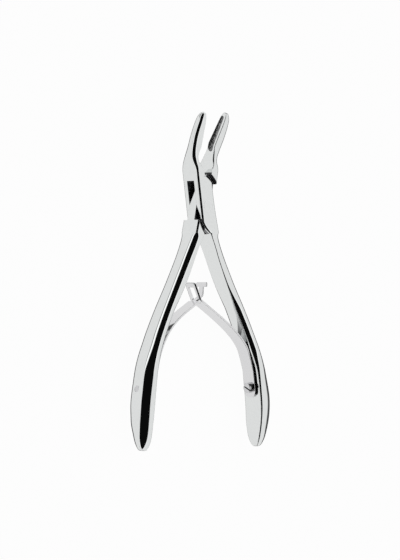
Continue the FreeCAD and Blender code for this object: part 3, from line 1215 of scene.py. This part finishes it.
@dataclass
class LeafSpring:
    """A leaf of strip steel, screwed to a handle and turned up where the two leaves cross."""

    hook: Hook
    screw: SpringScrew
    width: float = 7.4
    thickness: float = 0.9
    gap: float = 0.15
    edge: float = 0.2
    hook_edge: float = 0.75
    bend_radius: float = 1.2
    foot: Point = (-91.0, -70.0)
    foot_round: float = 3.0
    crossing: Point = (-2.5, -42.7)
    lean: float = 56.0
    window_width: float = 3.8
    window_ends: Point = (-2.0, 6.4)
    neck_width: float = 3.0
    step_length: float = 0.03
    bend_room: float = 0.3
    least_half: float = 0.3
    edge_share: float = 0.9
    ease_length: float = 1.5
    window_corner: float = 0.6
    window_reach: float = 3.0
    hinge: Point = (25.98, -67.04)
    bend_begins: Point = (3.0, -8.0)
    bend_ends: Point = (-6.0, 9.0)
    foot_steps: int = 29
    free_steps: int = 40
    bend_steps: int = 10
    lift_steps: int = 16
    ring_steps: int = 110
    foot_marks: int = 8
    tip_marks: int = 6

    @staticmethod
    def unit(degrees: float) -> Vector:
        """A direction that leans from +Y towards -X."""
        return turned(degrees) @ UP

    def foot_line(self) -> list[Vector]:
        """The leaf's line along its handle, in the open pose.

        Returns:
            The points, from the foot's end up.
        """
        course = self.screw.handle_courses()[0]
        line = []
        for i in range(self.foot_steps + 1):
            y = self.foot[0] + (self.foot[1] - self.foot[0]) * i / self.foot_steps
            spot = turned(HALF_OPENING) @ Vector((course.at(y) - self.gap - self.thickness / 2, y, 0))
            line.append(Vector((self.hook.side * spot.x, spot.y, 0)))
        return line

    def corner(self, before: Vector, spot: Vector, after: Vector) -> list[Vector]:
        """Points on the arc that replaces a corner between two directions.

        Args:
            before: the direction towards the corner.
            spot: the corner.
            after: the direction away from it.

        Returns:
            The points, in order.
        """
        turn = before.angle(after)
        reach = self.bend_radius * math.tan(turn / 2)
        inward = (after - before).normalized()
        centre = spot + inward * (self.bend_radius / math.cos(turn / 2))
        start = spot - before * reach - centre
        sense, steps = 1 if before.cross(after).z > 0 else -1, self.bend_steps
        turns = (Matrix.Rotation(sense * turn * i / steps, 3, "Z") for i in range(steps + 1))
        return [centre + step @ start for step in turns]

    def line(self) -> list[Vector]:
        """The whole line of the leaf, from its foot to its tip.

        Returns:
            The points, in order.
        """
        foot = self.foot_line()
        lift, leave = foot[-1], (foot[-1] - foot[-2]).normalized()
        crossing = Vector((*self.crossing, 0))
        arrive = self.unit(self.hook.side * self.lean)
        leaving, arriving = self.hook.pulls
        a, b, c, d = lift, lift + leave * leaving, crossing - arrive * arriving, crossing
        free = []
        for t in (i / self.free_steps for i in range(1, self.free_steps)):
            s = 1 - t
            free.append(a * s**3 + b * (3 * t * s**2) + c * (3 * t * t * s) + d * t**3)
        points = [*foot, *free, crossing]
        up, turn_at = self.unit(self.hook.lean), crossing + arrive * self.hook.run
        bend = self.corner(arrive, turn_at, up)
        while (points[-1] - bend[0]).dot(arrive) > -self.bend_room:
            points.pop()
        top, steps = turn_at + up * self.hook.lift, self.lift_steps
        return points + bend + [bend[-1].lerp(top, (i + 1) / steps) for i in range(steps)]

    def half_width(self, start: float, end: float) -> float:
        """Half the width of the leaf.

        Args:
            start: distance from the foot's end.
            end: distance from the tip.

        Returns:
            The half width there, with the rounded ends and the tee's neck.
        """
        half = self.width / 2
        for distance, radius in ((start, self.foot_round), (end, self.hook.tip_round)):
            if distance < radius:
                reach = min(radius - distance, radius)
                half = min(half, self.width / 2 - radius + math.sqrt(radius**2 - reach**2))
        if self.hook.neck and self.hook.neck[0] < end < self.hook.neck[1]:
            half = min(half, self.neck_width / 2)
        return half

    @staticmethod
    def rounding(steps: int) -> list[float]:
        """Where the rings of a rounded end lie, as shares of its radius."""
        return [1 - math.cos(math.pi / 2 * i / steps) for i in range(steps + 1)]

    def stations(self) -> list[tuple[Vector, Vector, float, float]]:
        """Place, in-plane normal, half width and outer edge radius of every ring of the leaf.

        Returns:
            One row for each ring, from the foot to the tip.
        """
        points = self.line()
        lengths = [0.0]
        for a, b in zip(points, points[1:]):
            lengths.append(lengths[-1] + (b - a).length)
        total = lengths[-1]
        marks = {round(total * i / self.ring_steps, 4) for i in range(self.ring_steps + 1)}
        marks |= {self.foot_round * share for share in self.rounding(self.foot_marks)}
        marks |= {total - self.hook.tip_round * share for share in self.rounding(self.tip_marks)}
        for place in self.hook.neck:
            marks |= {total - place - self.step_length, total - place + self.step_length}
        result = []
        for mark in sorted(marks):
            i = max(k for k in range(len(lengths) - 1) if lengths[k] <= mark + TINY)
            share = (mark - lengths[i]) / (lengths[i + 1] - lengths[i])
            spot = points[i].lerp(points[i + 1], share)
            before, after = points[max(i - 1, 0)], points[min(i + 2, len(points) - 1)]
            along = (points[i + 1] - points[i]).normalized() * 2 + (after - before).normalized()
            along.normalize()
            half = max(self.half_width(mark, total - mark), self.least_half)
            hook = min(max((self.hook.filed - (total - mark)) / self.ease_length, 0.0), 1.0)
            ease = min(self.edge + (self.hook_edge - self.edge) * hook, half * self.edge_share)
            result.append((spot, Vector((along.y, -along.x, 0)), half, ease))
        return result

    def ring(self, spot: Vector, normal: Vector, half: float, ease: float) -> list[Vector]:
        """A cross-section of the strip, its edges more rounded on the side away from the handle.

        Args:
            spot: its place on the leaf's line.
            normal: the direction through the strip.
            half: half its width.
            ease: the radius of its more rounded edges.

        Returns:
            The ring.
        """
        thick, outline = self.thickness / 2, []
        for corner, (su, sw) in enumerate(((1, 1), (-1, 1), (-1, -1), (1, -1))):
            r = ease if su * self.hook.side < 0 else min(self.edge, self.thickness - ease)
            outline += round_corner((su * (thick - r), sw * (half - r)), r, corner)
        return [spot + normal * u + Vector((0, 0, MID_Z + w)) for u, w in outline]

    def window(self) -> Piece:
        """The cutter for the window, a block with rounded corners across the upturned end.

        Returns:
            The cutter.
        """
        up, middle = self.unit(self.hook.lean), Vector((*self.crossing, MID_Z))
        out = Vector((up.y, -up.x, 0))
        low, high = self.window_ends
        r, half = self.window_corner, self.window_width / 2
        corners = ((high - r, half - r), (low + r, half - r), (low + r, r - half), (high - r, r - half))
        outline = [spot for i, corner in enumerate(corners) for spot in round_corner(corner, r, i)]
        rings = []
        for reach in (-self.window_reach, self.window_reach):
            rings.append([middle + up * a + Vector((0, 0, b)) + out * reach for a, b in outline])
        return Bench.loft("window_cutter", rings, SPRING)

    def make(self) -> Piece:
        """Builds the leaf, with its screw hole and, on the window leaf, its window.

        Returns:
            The finished leaf.
        """
        name = self.hook.name + "_spring"
        rings = [self.ring(*station) for station in self.stations()]
        piece = Bench.loft(name + "_leaf", rings, SPRING)
        if self.hook is WINDOW:
            Bench.cut_away(piece, self.window())
        hole = self.screw.hole()
        Bench.place(hole, turned(HALF_OPENING))
        if self.hook.side < 0:
            Bench.mirror(hole)
        Bench.cut_away(piece, hole)
        Bench.even_normals(piece)
        Bench.soften(piece)
        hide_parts(name)
        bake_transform(piece)
        return piece


# ---- The studio ----


@dataclass
class Studio:
    """A pale table under soft light, and the camera."""

    turn: float = 40.0
    pixels_per_mm: float = 2.2
    frame_height: float = 560.0
    distance: float = 1.5
    sensor: float = 36.0
    clip: Point = (0.05, 20.0)
    aim: Point = (-0.3, -74.0)
    # Bearing about the instrument's length, in degrees from the camera towards the right, and the
    # light from there.
    light: tuple[Point, ...] = (
        (-180.0, 0.90),
        (-84.0, 0.90),
        (-81.0, 0.20),
        (-76.0, 0.20),
        (-73.0, 1.30),
        (-55.0, 1.30),
        (-49.0, 0.004),
        (49.0, 0.004),
        (54.0, 1.30),
        (60.0, 1.30),
        (65.0, 0.90),
        (180.0, 0.90),
    )
    # The dark screen behind the table: from its soft rim to its full tone, in degrees from its
    # middle and from the level, and what it lets through.
    screen_reach: Point = (54.0, 46.0)
    screen_level: Point = (32.0, 24.0)
    screen_share: float = 0.08
    floor_size: float = 1.2
    floor_drop: float = 0.2
    floor_glow: float = 0.97
    floor_tone: tuple[float, ...] = (0.9, 0.9, 0.9, 1.0)
    brightest: float = 1.4

    @property
    def right(self) -> Vector:
        """The direction that is right in the picture."""
        angle = math.radians(self.turn)
        return Vector((math.cos(angle), 0, math.sin(angle)))

    @property
    def back(self) -> Vector:
        """The direction from the object to the camera."""
        angle = math.radians(self.turn)
        return Vector((-math.sin(angle), 0, math.cos(angle)))

    def add_camera(self) -> Piece:
        """Places the camera of the main view.

        Returns:
            The camera.
        """
        data = bpy.data.cameras.new("camera")
        camera = bpy.data.objects.new("camera", data)
        bpy.context.scene.collection.objects.link(camera)
        data.sensor_width = self.sensor
        data.lens = data.sensor_width * self.distance / (self.frame_height / self.pixels_per_mm * MM)
        data.clip_start, data.clip_end = self.clip
        step = MM / self.pixels_per_mm
        target = Vector((0, 0, MID_Z * MM)) + (self.right * self.aim[0] + UP * self.aim[1]) * step
        camera.location = target + self.back * self.distance
        camera.rotation_mode = "QUATERNION"
        camera.rotation_quaternion = Matrix((self.right, UP, self.back)).transposed().to_quaternion()
        bpy.context.scene.camera = camera
        return camera

    def add_world(self) -> None:
        """Surrounds the table with soft white, with a dark gap between two bright panels."""
        world = bpy.data.worlds.new("studio")
        bpy.context.scene.world = world
        wiring = Wiring.emptied(world)
        white = {"Color": (1, 1, 1, 1)}
        light = wiring.add("ShaderNodeBackground", {**white, "Strength": self.strength(wiring)})
        seen = wiring.add("ShaderNodeBackground", white)
        camera_ray = wiring.add("ShaderNodeLightPath", {}).outputs["Is Camera Ray"]
        surface = wiring.blend(camera_ray, (light.outputs[0], seen.outputs[0]))
        wiring.add("ShaderNodeOutputWorld", {0: surface})

    def strength(self, wiring: Wiring) -> Socket:
        """The light's strength by its direction.

        Args:
            wiring: the world's nodes.

        Returns:
            The socket that carries the strength.
        """
        way = wiring.add("ShaderNodeTexCoord", {}).outputs["Generated"]
        right, back, up = (wiring.dot(way, axis) for axis in (self.right, self.back, UP))
        bearing = wiring.ranged(wiring.sum("ARCTAN2", right, back), (-math.pi, math.pi))
        panels = wiring.add("ShaderNodeValToRGB", {"Fac": bearing})
        stops = panels.color_ramp.elements
        while len(stops) < len(self.light):
            stops.new(0.5)
        for stop, (degrees, level) in zip(stops, self.light):
            stop.position = degrees / 360 + 0.5
            share = level / self.brightest
            stop.color = (share, share, share, 1)
        light = wiring.sum("MULTIPLY", panels.outputs["Color"], self.brightest)
        soft, full = (-math.cos(math.radians(angle)) for angle in self.screen_reach)
        behind = wiring.ranged(back, (soft, full))
        soft, full = (math.sin(math.radians(angle)) for angle in self.screen_level)
        level = wiring.ranged(wiring.sum("ABSOLUTE", up), (soft, full))
        screen = wiring.sum("MULTIPLY", behind, level)
        shade = wiring.ranged(screen, (0.0, 1.0), (1.0, self.screen_share))
        return wiring.sum("MULTIPLY", light, shade)

    def add_floor(self) -> Piece:
        """Lays the pale table, which the camera sees as white under the instrument's shadow.

        Returns:
            The table.
        """
        Bench.clear()
        bpy.ops.mesh.primitive_plane_add(size=self.floor_size, location=(0, 0, -self.floor_drop * MM))
        floor = bpy.context.object
        floor.name = "floor"
        material = bpy.data.materials.new("pale_table")
        wiring = Wiring.emptied(material)
        cloth = wiring.add("ShaderNodeBsdfDiffuse", {"Color": self.floor_tone})
        glow = wiring.add("ShaderNodeEmission", {})
        camera_ray = wiring.add("ShaderNodeLightPath", {}).outputs["Is Camera Ray"]
        share = wiring.sum("MULTIPLY", camera_ray, self.floor_glow)
        surface = wiring.blend(share, (cloth.outputs[0], glow.outputs[0]))
        wiring.add("ShaderNodeOutputMaterial", {0: surface})
        floor.data.materials.append(material)
        floor.visible_glossy = False
        return floor

    def set_up(self) -> None:
        """Makes camera, light and table."""
        self.add_camera()
        self.add_world()
        self.add_floor()
        bpy.context.scene.view_settings.view_transform = "Standard"


@dataclass
class Rongeur:
    """The whole instrument."""

    slotted: Lever = field(default_factory=lambda: Lever("slotted_lever", Side.LEFT, "slotted_side"))
    tenon: Lever = field(default_factory=lambda: Lever("tenon_lever", Side.RIGHT, "tenon_side"))
    pin: PivotPin = field(default_factory=PivotPin)

    def build(self) -> Iterable[Piece]:
        """Makes every piece in turn.

        Returns:
            The pieces, one after another.
        """
        screw = SpringScrew(self.slotted)
        yield self.slotted.make(self.pin, screw)
        yield self.tenon.make(self.pin, screw)
        yield self.pin.make()
        yield screw.make(Side.RIGHT)
        yield screw.make(Side.LEFT)
        yield LeafSpring(WINDOW, screw).make()
        yield LeafSpring(TEE, screw).make()


def main() -> None:
    """Builds the instrument and the studio, and reports each piece."""
    logging.basicConfig(level=logging.INFO, format="%(name)s: %(message)s")
    for piece in Rongeur().build():
        log.info("%s has %d faces", piece.name, len(piece.data.polygons))
    Studio().set_up()


if __name__ == "__main__":
    main()
